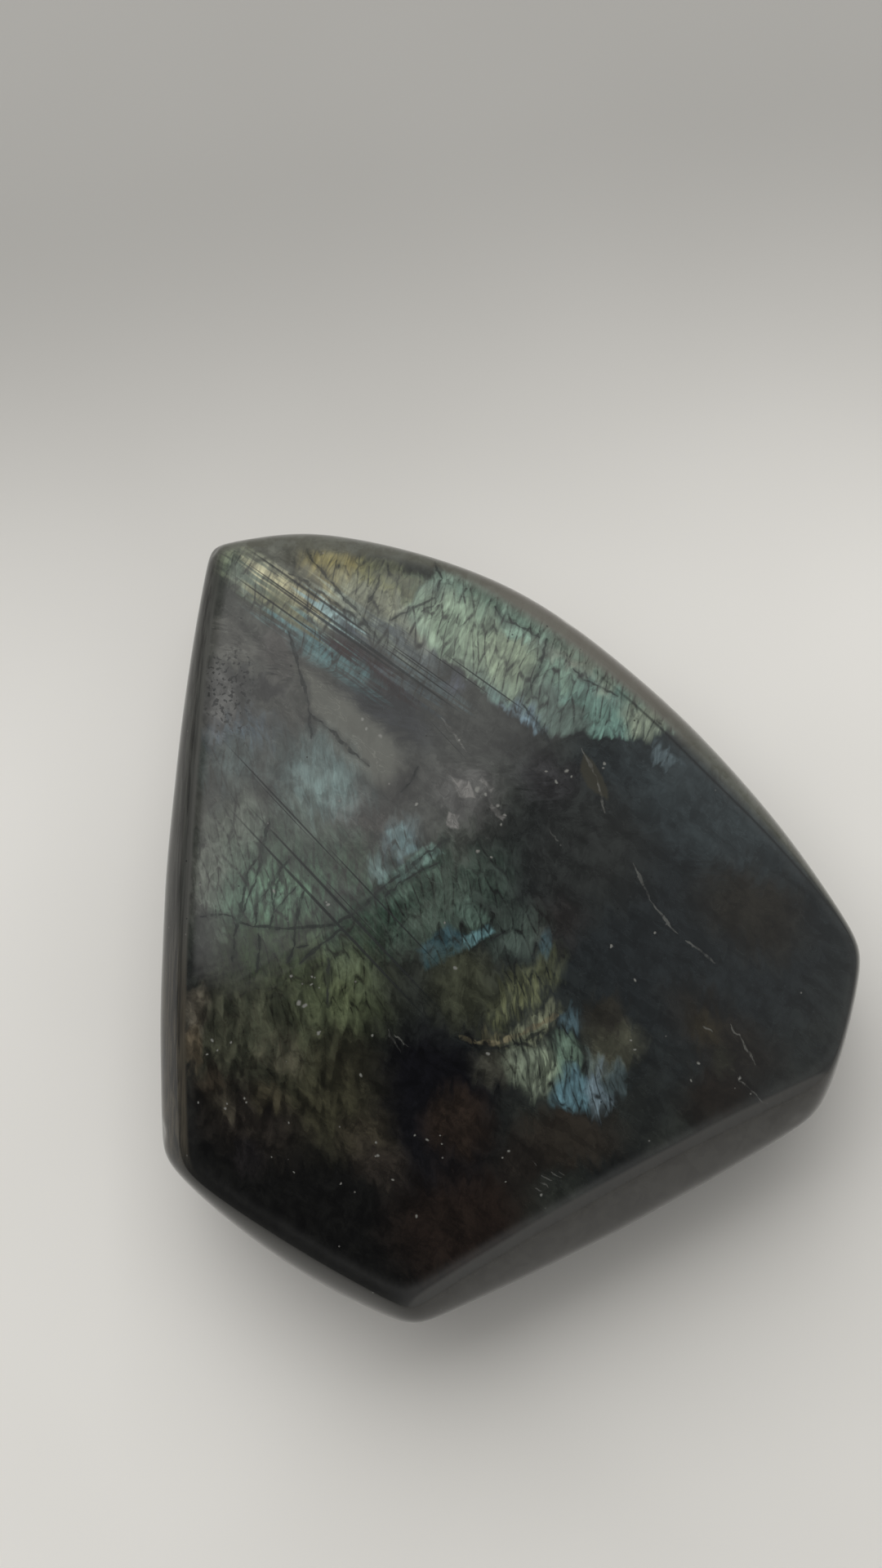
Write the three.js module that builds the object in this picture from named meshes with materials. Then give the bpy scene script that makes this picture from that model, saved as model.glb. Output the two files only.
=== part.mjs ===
// A palm-sized block of polished labradorite, lying on its flat back with the show face up.
//
// Millimetres, +Z up. The origin is on the resting surface, under the middle of the stone.
// +Y points to the stone's high corner and +X to its blunt right-hand end.
//
// The stone is ground by hand, so each of its faces is a very shallow dome, a piece of a large
// ball, a narrow sloped rim runs round the show face, and every edge is softly rounded over. The body is the space inside all of those balls
// at once, blended where they meet, and cut flat at the resting surface.

import * as THREE from 'three';
import { ConvexGeometry } from 'three/addons/geometries/ConvexGeometry.js';

// ---- driving dimensions -------------------------------------------------------------------

const THICKNESS = 36; // from the resting surface to the crown of the show face
const MIDDLE = THICKNESS / 2; // height of the point that all face distances are taken from
const OVERCUT = 0.4; // how far the back is ground past the resting surface before the flat cut
const ROUNDING = 0.7; // how softly two faces blend: this rounds a square edge over about 2 mm

// Each ground face: which way it looks (degrees round the stone from +X, and degrees above
// the horizon), how far it is from the middle point, and the radius of its shallow dome.
const GROUND_FACES = {
  show_face: { around: 0, up: 90, distance: MIDDLE, dome: 300 },
  flat_back: { around: 0, up: -90, distance: MIDDLE + OVERCUT, dome: 2500 },
  left_side: { around: 176.6, up: -3, distance: 44.5, dome: 355 },
  top_side: { around: 86.0, up: -4, distance: 52.6, dome: 145 },
  shoulder: { around: 59.8, up: -4, distance: 40.2, dome: 136 },
  long_flank: { around: 44.5, up: -4, distance: 34.9, dome: 137 },
  right_end: { around: -8.7, up: -4, distance: 46.6, dome: 72 },
  lower_right_side: { around: -61.1, up: -6, distance: 41.8, dome: 290 },
  lower_left_side: { around: -123.6, up: -5, distance: 53.0, dome: 82 },
  wide_bevel: { around: -61.6, up: 43, distance: 36.5, dome: 2500 },
  left_rim: { around: 177.6, up: 45, distance: 40.5, dome: 285 },
  top_rim: { around: 82.9, up: 48, distance: 41.7, dome: 325 },
  shoulder_rim: { around: 57.1, up: 48, distance: 35.4, dome: 330 },
  flank_rim: { around: 45.2, up: 48, distance: 33.8, dome: 350 },
  lower_left_rim: { around: -120.2, up: 45, distance: 46.0, dome: 235 },
  back_bevel_flank: { around: 52, up: -48, distance: 34.5, dome: 120 },
  back_bevel_left: { around: 178, up: -52, distance: 39, dome: 150 },
  back_bevel_foot: { around: -95, up: -45, distance: 43.5, dome: 120 },
};

const MERIDIANS = 128; // divisions round the stone
const RINGS = 36; // divisions from the crown to the middle of the back
const FRONT_SHARE = 0.39; // share of the rings on the show face
const SIDE_SHARE = 0.42; // share of the rings down the sides, the rest are on the back
const CORNER_PULL = 10; // millimetres of outline that a turn of one radian counts for

// ---- the ground shape ---------------------------------------------------------------------

// The ball that each face is a piece of. Its centre is on the far side of the middle point.
const balls = Object.values(GROUND_FACES).map(({ around, up, distance, dome }) => {
  const outward = new THREE.Vector3(1, 0, 0)
    .applyAxisAngle(new THREE.Vector3(0, 1, 0), -THREE.MathUtils.degToRad(up))
    .applyAxisAngle(new THREE.Vector3(0, 0, 1), THREE.MathUtils.degToRad(around));
  return { centre: outward.multiplyScalar(distance - dome), radius: dome };
});

// How far a point is outside the stone: the soft maximum of its distances outside the balls.
function outside(point) {
  const distances = balls.map(({ centre, radius }) => point.distanceTo(centre) - radius);
  const largest = Math.max(...distances);
  const shares = distances.map((distance) => Math.exp((distance - largest) / ROUNDING));
  return largest + ROUNDING * Math.log(shares.reduce((total, share) => total + share));
}

// Where a ray from the middle point leaves the stone, found by halving.
function surfacePoint(direction) {
  let inner = 0;
  let outer = 100;
  const point = new THREE.Vector3();
  for (let i = 0; i < 36; i += 1) {
    const distance = (inner + outer) / 2;
    point.copy(direction).setLength(distance);
    if (outside(point) > 0) outer = distance;
    else inner = distance;
  }
  return point;
}

// The stone's radius seen from above, at the height of the middle point.
function outlineRadius(azimuth) {
  return surfacePoint(new THREE.Vector3(Math.cos(azimuth), Math.sin(azimuth), 0)).length();
}

// Azimuths that share out the outline's length, and crowd together where it turns a corner.
function meridianAzimuths(count) {
  const samples = 1440;
  const points = [];
  for (let i = 0; i <= samples; i += 1) {
    const azimuth = 2 * Math.PI * (i / samples) - Math.PI;
    const radius = outlineRadius(azimuth);
    points.push(new THREE.Vector2(radius * Math.cos(azimuth), radius * Math.sin(azimuth)));
  }
  const travelled = [0];
  let heading = points[0].clone().sub(points[samples - 1]);
  for (let i = 1; i <= samples; i += 1) {
    const step = points[i].clone().sub(points[i - 1]);
    const turn = Math.abs(Math.asin(heading.cross(step) / (heading.length() * step.length())));
    travelled.push(travelled[i - 1] + step.length() + CORNER_PULL * turn);
    heading = step;
  }
  const azimuths = [];
  let i = 0;
  for (let m = 0; m < count; m += 1) {
    const target = travelled[samples] * (m / count);
    while (travelled[i + 1] < target) i += 1;
    const part = (target - travelled[i]) / (travelled[i + 1] - travelled[i]);
    azimuths.push(2 * Math.PI * ((i + part) / samples) - Math.PI);
  }
  return azimuths;
}

// The section of a plain disc of the given radius, from its crown (share 0) over the rim to
// the middle of its back (share 1). Its top is domed like the show face, and rings crowd at
// the rims. Returns [distance from the axis, height over the middle point].
function discSection(share, radius) {
  const rim = MIDDLE - radius * radius / (2 * GROUND_FACES.show_face.dome);
  if (share < FRONT_SHARE) {
    const across = radius * (1 - Math.pow(1 - share / FRONT_SHARE, 2));
    return [across, MIDDLE - across * across / (2 * GROUND_FACES.show_face.dome)];
  }
  if (share < FRONT_SHARE + SIDE_SHARE) {
    const down = Math.cos(Math.PI * (share - FRONT_SHARE) / SIDE_SHARE);
    return [radius, down > 0 ? down * rim : down * MIDDLE];
  }
  const toMiddle = (1 - share) / (1 - FRONT_SHARE - SIDE_SHARE);
  return [radius * (1 - Math.pow(1 - toMiddle, 2)), -MIDDLE];
}

// A ball whose meridians and rings are moved to a disc of the stone's outline, and then in or
// out along their rays until they lie on the ground faces. A stone ground like this has no
// hollow anywhere, so its surface is the skin stretched tight over those points.
function stoneGeometry() {
  const ball = new THREE.SphereGeometry(1, MERIDIANS, RINGS);
  ball.rotateX(Math.PI / 2);
  const azimuths = meridianAzimuths(MERIDIANS);
  const radii = azimuths.map(outlineRadius);
  const position = ball.getAttribute('position');
  const points = [];
  for (let i = 0; i < position.count; i += 1) {
    const place = new THREE.Vector3().fromBufferAttribute(position, i);
    const turn = (Math.atan2(place.y, place.x) + Math.PI) / (2 * Math.PI);
    const meridian = Math.round(turn * MERIDIANS) % MERIDIANS;
    const share = Math.acos(THREE.MathUtils.clamp(place.z, -1, 1)) / Math.PI;
    const ring = Math.round(share * RINGS) / RINGS;
    const [across, height] = discSection(ring, radii[meridian]);
    const azimuth = azimuths[meridian];
    place.set(across * Math.cos(azimuth), across * Math.sin(azimuth), height);
    const point = surfacePoint(place);
    point.z = Math.max(point.z + MIDDLE, 0);
    points.push(point);
  }
  const geometry = new ConvexGeometry(points);
  geometry.computeBoundingBox();
  const centre = geometry.boundingBox.getCenter(new THREE.Vector3());
  geometry.translate(-centre.x, -centre.y, 0);
  return geometry;
}

// ---- the object ---------------------------------------------------------------------------

const stone = new THREE.Mesh(
  stoneGeometry(),
  new THREE.MeshStandardMaterial({ color: 0x3c423e, roughness: 0.12, metalness: 0 }),
);
stone.name = 'labradorite_block';

const object = new THREE.Group();
object.add(stone);

export default object;
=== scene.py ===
import math
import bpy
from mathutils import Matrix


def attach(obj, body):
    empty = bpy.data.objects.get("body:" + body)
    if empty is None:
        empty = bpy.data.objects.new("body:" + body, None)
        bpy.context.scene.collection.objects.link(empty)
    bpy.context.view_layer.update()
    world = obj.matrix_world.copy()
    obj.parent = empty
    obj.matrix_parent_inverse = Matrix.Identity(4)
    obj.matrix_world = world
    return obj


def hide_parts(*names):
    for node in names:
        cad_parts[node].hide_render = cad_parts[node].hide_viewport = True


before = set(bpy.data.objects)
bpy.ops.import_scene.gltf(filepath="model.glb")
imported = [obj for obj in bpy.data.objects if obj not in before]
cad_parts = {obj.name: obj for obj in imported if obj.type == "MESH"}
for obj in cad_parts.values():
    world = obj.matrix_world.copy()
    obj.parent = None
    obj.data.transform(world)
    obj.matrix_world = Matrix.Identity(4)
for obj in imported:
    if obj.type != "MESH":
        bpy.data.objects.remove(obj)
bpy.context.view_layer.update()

from types import SimpleNamespace

import bpy
import numpy as np

# A palm-sized block of polished labradorite, lying on its flat back with the show face up.
#
# The frame is in metres, +Z up, with the resting surface at zero. The stone's shape and the
# places of its markings are worked out in millimetres from the middle of the stone, +X to its
# blunt right-hand end and +Y to its high corner, and are scaled by MM where they are used.

MM = 0.001

# ---- the ground shape ---------------------------------------------------------------------

THICKNESS = 36.0  # from the resting surface to the crown of the show face
MIDDLE = THICKNESS / 2  # height of the point that all face distances are taken from
OVERCUT = 0.4  # how far the back is ground past the resting surface before the flat cut
ROUNDING = 0.7  # how softly two faces blend
FACE_DOME = 300.0  # radius of the show face's dome

# Each ground face: which way it looks (degrees round the stone from +X, degrees above the
# horizon), how far it is from the middle point, and the radius of its shallow dome.
GROUND_FACES = {
    "show_face": (0, 90, MIDDLE, FACE_DOME),
    "flat_back": (0, -90, MIDDLE + OVERCUT, 2500),
    "left_side": (176.6, -3, 44.5, 355),
    "top_side": (86.0, -4, 52.6, 145),
    "shoulder": (59.8, -4, 40.2, 136),
    "long_flank": (44.5, -4, 34.9, 137),
    "right_end": (-8.7, -4, 46.6, 72),
    "lower_right_side": (-61.1, -6, 41.8, 290),
    "lower_left_side": (-123.6, -5, 53.0, 82),
    "wide_bevel": (-61.6, 43, 36.5, 2500),
    "left_rim": (177.6, 45, 40.5, 285),
    "top_rim": (82.9, 48, 41.7, 325),
    "shoulder_rim": (57.1, 48, 35.4, 330),
    "flank_rim": (45.2, 48, 33.8, 350),
    "lower_left_rim": (-120.2, 45, 46.0, 235),
    "back_bevel_flank": (52, -48, 34.5, 120),
    "back_bevel_left": (178, -52, 39, 150),
    "back_bevel_foot": (-95, -45, 43.5, 120),
}

MERIDIANS = 560  # divisions round the stone
RINGS = 164  # divisions from the crown to the middle of the back
FRONT_SHARE = 0.42  # share of the rings on the show face
SIDE_SHARE = 0.38  # share of the rings down the sides, the rest are on the back
CORNER_PULL = 10.0  # millimetres of outline that a turn of one radian counts for
OUTLINE_PLACES = 2881  # places where the outline's steps and turns are measured
WELL_OUTSIDE = 70.0  # a distance from the middle point that is outside the stone every way
NEWTON_STEPS = 9  # steps from there in to the surface, enough to settle the last digit


def directions(azimuth):
    """Level unit vectors at the azimuths: cosine, sine, nought."""
    return np.stack([np.cos(azimuth), np.sin(azimuth), np.zeros_like(azimuth)], 1)


def balls():
    """Centres and radii of the balls that the ground faces are pieces of. A centre lies on the far
    side of the middle point: outward direction times (distance - dome)."""
    rows = np.array(list(GROUND_FACES.values()), float)
    around, up = np.radians(rows[:, 0]), np.radians(rows[:, 1])
    outward = np.stack([np.cos(up) * np.cos(around), np.cos(up) * np.sin(around), np.sin(up)], 1)
    return outward * (rows[:, 2] - rows[:, 3])[:, None], rows[:, 3]


def ground_surface(direction):
    """Where rays from the middle point leave the stone. The stone is where the soft maximum of the
    distances outside all the balls is zero: largest + rounding * log(sum(exp((each - largest) /
    rounding))). Each ray's length is found from well outside inwards by Newton steps."""
    centre, radius = balls()
    direction = direction / np.linalg.norm(direction, axis=-1, keepdims=True)
    length = np.full(direction.shape[:-1], WELL_OUTSIDE)
    for _ in range(NEWTON_STEPS):
        arm = (direction * length[..., None])[..., None, :] - centre
        far = np.linalg.norm(arm, axis=-1)
        beyond = far - radius
        largest = beyond.max(-1, keepdims=True)
        share = np.exp((beyond - largest) / ROUNDING)
        total = share.sum(-1)
        outside = largest[..., 0] + ROUNDING * np.log(total)
        slope = ((arm * direction[..., None, :]).sum(-1) / far * share).sum(-1) / total
        length = length - outside / slope
    return direction * length[..., None]


def meridian_azimuths(count):
    """Azimuths that share out the outline seen from above and crowd where it turns a corner: the
    running total of step length + CORNER_PULL * turn is cut into equal parts."""
    azimuth = np.linspace(-np.pi, np.pi, OUTLINE_PLACES)
    step = np.diff(ground_surface(directions(azimuth))[:, :2], axis=0)
    heading = np.unwrap(np.arctan2(step[:, 1], step[:, 0]))
    turn = np.abs(np.diff(heading, append=heading[0] + 2 * np.pi))
    pulled = np.hypot(step[:, 0], step[:, 1]) + CORNER_PULL * turn
    travelled = np.concatenate([[0], np.cumsum(pulled)])
    return np.interp(np.arange(count) / count * travelled[-1], travelled, azimuth)


def disc_section(share, radius):
    """The section of a plain disc from its crown (share 0) over the rim to the middle of its back
    (share 1). Across the face the distance from the axis is radius * (1 - (1 - t)^2) and the height
    follows the face's dome, down the rim the height goes as a cosine, and the back mirrors the
    face without a dome. Rings crowd at both rims. Returns distance from the axis and height."""
    rim = MIDDLE - radius**2 / (2 * FACE_DOME)
    on_face = np.clip(share / FRONT_SHARE, 0, 1)
    down = np.cos(np.pi * np.clip((share - FRONT_SHARE) / SIDE_SHARE, 0, 1))
    to_middle = np.clip((1 - share) / (1 - FRONT_SHARE - SIDE_SHARE), 0, 1)
    across = radius * (1 - (1 - on_face) ** 2) * (1 - (1 - to_middle) ** 2)
    face = MIDDLE - across**2 / (2 * FACE_DOME)
    side = np.where(down > 0, down * rim, down * MIDDLE)
    return across, np.where(share < FRONT_SHARE, face, side)


POLISHED_OFF = 0.07  # how far the hand polish goes in on average
POLISH_WAVE = 0.06  # how far it strays from that

# The waves of the hand polish: radians a millimetre along x, y and z, phase and weight.
POLISH_WAVES = [
    (0.21, 0.13, 0.10, 0.6, 1.0),
    (-0.17, 0.29, -0.12, 2.1, 0.7),
    (0.38, 0.33, 0.30, 4.0, 0.5),
]
ALL_WEIGHTS = 2.2  # the weights together


def hand_polish(place):
    """How far the polishing wheel went in, in millimetres: long low waves left by hand work, the
    weighted sum of three sines of place along slanted directions, between 0.01 and 0.13."""
    x, y, z = place[..., 0], place[..., 1], place[..., 2]
    waves = 0
    for along_x, along_y, along_z, phase, weight in POLISH_WAVES:
        waves = waves + weight * np.sin(along_x * x + along_y * y + along_z * z + phase)
    return POLISHED_OFF + POLISH_WAVE * waves / ALL_WEIGHTS


# Small bruises along the edges: x and y, height over the resting surface, radius and depth.
NICKS = [
    (37.4, -24.6, 27.0, 1.1, 0.45),
    (34.6, -25.2, 31.5, 0.9, 0.22),
    (-44.8, -27.0, 27.0, 1.2, 0.25),
    (-12.6, -50.6, 26.0, 1.0, 0.30),
    (-38.2, 48.6, 27.0, 0.9, 0.20),
    (45.5, -2.0, 24.0, 1.2, 0.25),
    (8.2, 39.9, 29.0, 0.9, 0.18),
]


def bruises(place):
    """How far in the small bruises go: for each, depth * exp(-(distance / radius)^2), summed."""
    total = np.zeros(place.shape[:-1])
    for x, y, z, radius, depth in NICKS:
        far = np.linalg.norm(place - np.array([x, y, z - MIDDLE]), axis=-1)
        total = total + depth * np.exp(-((far / radius) ** 2))
    return total


def stone_surface():
    """The stone's skin over two parameters, meridian and ring: points of a plain disc are moved
    along their rays from the middle point until they lie on the ground faces, then in by the
    hand polish and the bruises, and the back is cut flat at the resting surface. Returns the
    points of the rings between the poles, then the crown and the middle of the back, and how far
    all of them were moved to bring the middle of the stone to the origin."""
    azimuth = meridian_azimuths(MERIDIANS)
    radius = np.linalg.norm(ground_surface(directions(azimuth)), axis=-1)
    share = np.arange(1, RINGS)[:, None] / RINGS
    across, height = disc_section(share, radius[None, :])
    rays = np.stack([across * np.cos(azimuth), across * np.sin(azimuth), height], -1).reshape(-1, 3)
    rays = np.concatenate([rays, [[0, 0, 1], [0, 0, -1]]])
    skin = ground_surface(rays)
    outward = skin / np.linalg.norm(skin, axis=-1, keepdims=True)
    skin = skin - outward * (hand_polish(skin) + bruises(skin))[:, None]
    skin[:, 2] = np.maximum(skin[:, 2] + MIDDLE, 0)
    middle = (skin.min(0) + skin.max(0)) / 2
    moved = np.array([-middle[0], -middle[1], 0])
    return skin + moved, moved


def stone_faces():
    """Squares between neighbouring rings and meridians, wound outwards, and a fan of triangles
    round each pole."""
    ring = np.arange(RINGS - 2)[:, None] * MERIDIANS
    here = np.arange(MERIDIANS)[None, :]
    after = (here + 1) % MERIDIANS
    squares = np.stack(
        [ring + here, ring + MERIDIANS + here, ring + MERIDIANS + after, ring + after], -1
    ).reshape(-1, 4)
    crown = (RINGS - 1) * MERIDIANS
    last = (RINGS - 2) * MERIDIANS
    top = np.stack([np.full(MERIDIANS, crown), here[0], after[0]], -1)
    bottom = np.stack([last + here[0], np.full(MERIDIANS, crown + 1), last + after[0]], -1)
    return squares.tolist() + top.tolist() + bottom.tolist()


def placed(name, data):
    """A new object in the scene with this mesh, lamp or camera."""
    thing = bpy.data.objects.new(name, data)
    bpy.context.scene.collection.objects.link(thing)
    return thing


def make_stone():
    """The polished stone as one closed, smooth-shaded mesh in the frame's metres, with its finish."""
    skin, moved = stone_surface()
    mesh = bpy.data.meshes.new("polished_stone")
    mesh.from_pydata((skin * MM).tolist(), [], stone_faces())
    mesh.polygons.foreach_set("use_smooth", np.ones(len(mesh.polygons), bool))
    mesh.update()
    mesh.materials.append(labradorite(moved + np.array([0, 0, MIDDLE])))
    return placed("polished_stone", mesh)


# ---- laying out a finish ------------------------------------------------------------------

# Ways that lens-shaped markings lie: their lean in degrees about +Z, and how many times longer
# than wide they are. The last two are for straight cracks, the others for soft patches.
LEANS = {
    "round": (0, 1.0),
    "upright": (88, 1.8),
    "level": (0, 2.0),
    "oval": (-35, 1.5),
    "band": (-34, 2.4),
    "fan": (-36, 3.6),
    "rising": (38, 2.4),
    "cleavage": (-46.6, 90.0),
    "fanwise": (-35.5, 60.0),
}
PATCH_LEANS = ("round", "upright", "level", "oval", "band", "rising")

CRISP = 0.12  # half the width, in millimetres, of the border of a clear-cut ground face
FAR_AWAY = 99.0  # millimetres, more than any distance on the stone
BLACK = (0.0, 0.0, 0.0)


def leaning_place(x, y, lean, stretch):
    """Where a place comes to lie when it is turned by minus lean degrees and then pressed
    together along the lean."""
    turn = math.radians(lean)
    along = x * math.cos(turn) + y * math.sin(turn)
    return along / stretch, y * math.cos(turn) - x * math.sin(turn), 0


class Finish:
    """A procedural finish, laid out one node after another. Every method adds nodes and returns
    their result, so that a finish reads as a list of steps. Places are millimetres on the stone.
    A node is added just before the one that uses it, because the renderer can hold only a few
    results at a time."""

    def __init__(self, tree):
        self.tree = tree
        self.tree.nodes.clear()

    def add(self, kind, **settings):
        """A new node with these settings."""
        node = self.tree.nodes.new(kind)
        for setting, value in settings.items():
            setattr(node, setting, value)
        return node

    def feed(self, socket, value):
        """Gives a socket another node's result, or else a colour, number or vector of its own."""
        if isinstance(value, bpy.types.NodeSocket):
            self.tree.links.new(value, socket)
        elif socket.type == "RGBA":
            socket.default_value = (*value, 1.0)
        else:
            socket.default_value = value

    def show(self, shader, kind="Material"):
        """Makes the shader what is seen of a material, or of the world."""
        out = self.add("ShaderNodeOutput" + kind)
        self.feed(out.inputs["Surface"], shader.outputs[0])

    def place(self):
        """Object coordinates in millimetres."""
        own = self.add("ShaderNodeTexCoord").outputs["Object"]
        return self.laid(own, size=(MM, MM, MM))

    def vector(self, operation, first, second):
        """Two vectors added, subtracted or multiplied, or their distance or dot product."""
        node = self.add("ShaderNodeVectorMath", operation=operation)
        self.feed(node.inputs[0], first)
        self.feed(node.inputs[1], second)
        return node.outputs["Value" if operation in ("DISTANCE", "DOT_PRODUCT") else "Vector"]

    def reach(self, place, x, y, z=0):
        """How far a place reaches along x, y, z, times the length of x, y, z: their dot product."""
        return self.vector("DOT_PRODUCT", place, (x, y, z))

    def far(self, place, x, y, z=0):
        """How far a place is from the point x, y, z."""
        return self.vector("DISTANCE", place, (x, y, z))

    def math(self, operation, *values):
        """Numbers put together by one operation."""
        node = self.add("ShaderNodeMath", operation=operation)
        for socket, value in zip(node.inputs, values):
            self.feed(socket, value)
        return node.outputs[0]

    def times(self, first, second):
        """The product of both."""
        return self.math("MULTIPLY", first, second)

    def plus(self, first, second):
        """The sum of both."""
        return self.math("ADD", first, second)

    def less(self, first, second):
        """The first less the second."""
        return self.math("SUBTRACT", first, second)

    def most(self, first, second):
        """The larger of both."""
        return self.math("MAXIMUM", first, second)

    def off(self, value, level):
        """How far a value is off a level, either way."""
        return self.math("ABSOLUTE", self.less(value, level))

    def one_plus(self, first, second):
        """One plus the product of both."""
        return self.math("MULTIPLY_ADD", first, second, 1.0)

    def ramp(self, value, start, end, low=0.0, high=1.0):
        """low up to start, high from end on, and a smooth step between."""
        node = self.add("ShaderNodeMapRange", interpolation_type="SMOOTHSTEP", clamp=False)
        self.feed(node.inputs["Value"], value)
        node.inputs["From Min"].default_value = start
        node.inputs["From Max"].default_value = end
        node.inputs["To Min"].default_value = low
        node.inputs["To Max"].default_value = high
        return node.outputs["Result"]

    def mix(self, share, first, second, **settings):
        """The first colour with a share of the second laid over it."""
        node = self.add("ShaderNodeMix", data_type="RGBA", **settings)
        self.feed(node.inputs[0], share)
        self.feed(node.inputs[6], first)
        self.feed(node.inputs[7], second)
        return node.outputs[2]

    def sum(self, first, second):
        """Two colours added."""
        return self.mix(1.0, first, second, blend_type="ADD")

    def blend(self, share, first, second):
        """Coordinates partway between two sets of coordinates."""
        node = self.add("ShaderNodeMix", data_type="VECTOR")
        self.feed(node.inputs[0], share)
        self.feed(node.inputs[4], first)
        self.feed(node.inputs[5], second)
        return node.outputs[1]

    def shaded(self, colour, strength):
        """The colour made darker or brighter: a strength of one changes nothing."""
        node = self.add("ShaderNodeHueSaturation")
        self.feed(node.inputs["Color"], colour)
        self.feed(node.inputs["Value"], strength)
        return node.outputs["Color"]

    def laid(self, place, centre=(0, 0, 0), turn=0.0, size=(1, 1, 1)):
        """Coordinates of a marking: centred, turned by degrees about +Z and measured in sizes."""
        node = self.add("ShaderNodeMapping", vector_type="TEXTURE")
        self.feed(node.inputs["Vector"], place)
        node.inputs["Location"].default_value = centre
        node.inputs["Rotation"].default_value = (0, 0, math.radians(turn))
        node.inputs["Scale"].default_value = size
        return node.outputs["Vector"]

    def noise(self, place, grain, detail=2.0, rough=0.5, colour=False):
        """Cloudy noise whose lumps are about grain millimetres across."""
        node = self.add("ShaderNodeTexNoise")
        self.feed(node.inputs["Vector"], place)
        node.inputs["Scale"].default_value = 1 / grain
        node.inputs["Detail"].default_value = detail
        node.inputs["Roughness"].default_value = rough
        return node.outputs["Color" if colour else "Fac"]

    def shifted(self, place, grain, reach, detail=2.0):
        """The place moved about by cloudy noise, by up to about half of reach millimetres."""
        wander = self.noise(place, grain, detail, colour=True)
        wander = self.vector("SUBTRACT", wander, (0.5, 0.5, 0.5))
        wander = self.vector("MULTIPLY", wander, (reach, reach, reach))
        node = self.add("ShaderNodeMapping", vector_type="POINT")
        self.feed(node.inputs["Vector"], place)
        self.feed(node.inputs["Location"], wander)
        return node.outputs["Vector"]

    def cells(self, place):
        """Random cells one unit across: how far their middle is, and a random number for each."""
        node = self.add("ShaderNodeTexVoronoi")
        self.feed(node.inputs["Vector"], place)
        node.inputs["Scale"].default_value = 1.0
        parts = self.add("ShaderNodeSeparateColor")
        self.feed(parts.inputs[0], node.outputs["Color"])
        return node.outputs["Distance"], parts.outputs[0]

    def net(self, place):
        """The borders between flat cells one unit across: nought on a border and more inside."""
        borders = {"feature": "DISTANCE_TO_EDGE", "voronoi_dimensions": "2D"}
        node = self.add("ShaderNodeTexVoronoi", **borders)
        self.feed(node.inputs["Vector"], place)
        node.inputs["Scale"].default_value = 1.0
        return node.outputs["Distance"]

    def leaning(self, place, lean):
        """The place turned and pressed together the way LEANS says, and without its height, so
        that every marking that lies this way is a circle."""
        turn, stretch = LEANS[lean]
        return self.laid(place, turn=turn, size=(stretch, 1, 1000))

    def lens(self, ways, lean, x, y, wide, edge):
        """A lens whose half width is wide: one inside and nought outside, with a soft border that
        reaches edge * wide to either side. The ways are the leaning places, by name."""
        middle = leaning_place(x, y, *LEANS[lean])
        return self.ramp(self.far(ways[lean], *middle), wide * (1 + edge), wide * (1 - edge))

    def painted(self, ways, colour, patches):
        """The colour with each soft-edged patch laid over it in turn."""
        for *lens, patch in patches:
            colour = self.mix(self.lens(ways, *lens), colour, patch)
        return colour

    def crystal(self, place, corners, soft):
        """A straight-sided piece between corners given clockwise: the least of the distances
        inside its sides, brought to one inside and nought outside."""
        inside = FAR_AWAY
        for (ax, ay), (bx, by) in zip(corners, corners[1:] + corners[:1]):
            long = math.hypot(bx - ax, by - ay)
            inward = ((by - ay) / long, (ax - bx) / long)
            within = self.plus(self.reach(place, *inward), -ax * inward[0] - ay * inward[1])
            inside = self.math("MINIMUM", inside, within)
        return self.ramp(inside, -soft, soft)

    def inlaid(self, place, front, colour, crystals):
        """The colour with each straight-sided crystal let into it, on the front."""
        for corners, soft, tint in crystals:
            share = self.times(self.crystal(place, corners, soft), front)
            colour = self.mix(share, colour, tint)
        return colour

    def crooked(self, flat, chains):
        """The crooked lines through the points of each chain: nought on a line, and growing about
        as the square of the distance from it. A link is a thin lens whose tips are its two
        points: the distances to both tips less the link's length."""
        outside = FAR_AWAY
        for chain in chains:
            before = None
            for x, y in chain:
                far = self.far(flat, x, y)
                if before is not None:
                    both = self.plus(before[0], far)
                    gap = math.hypot(x - before[1], y - before[2])
                    outside = self.math("MINIMUM", outside, self.less(both, gap))
                before = (far, x, y)
        return outside


def new_finish(name):
    """A new material, and the finish to lay out on it."""
    material = bpy.data.materials.new(name)
    material.use_nodes = True
    return material, Finish(material.node_tree)


# ---- what the stone shows -----------------------------------------------------------------

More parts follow.
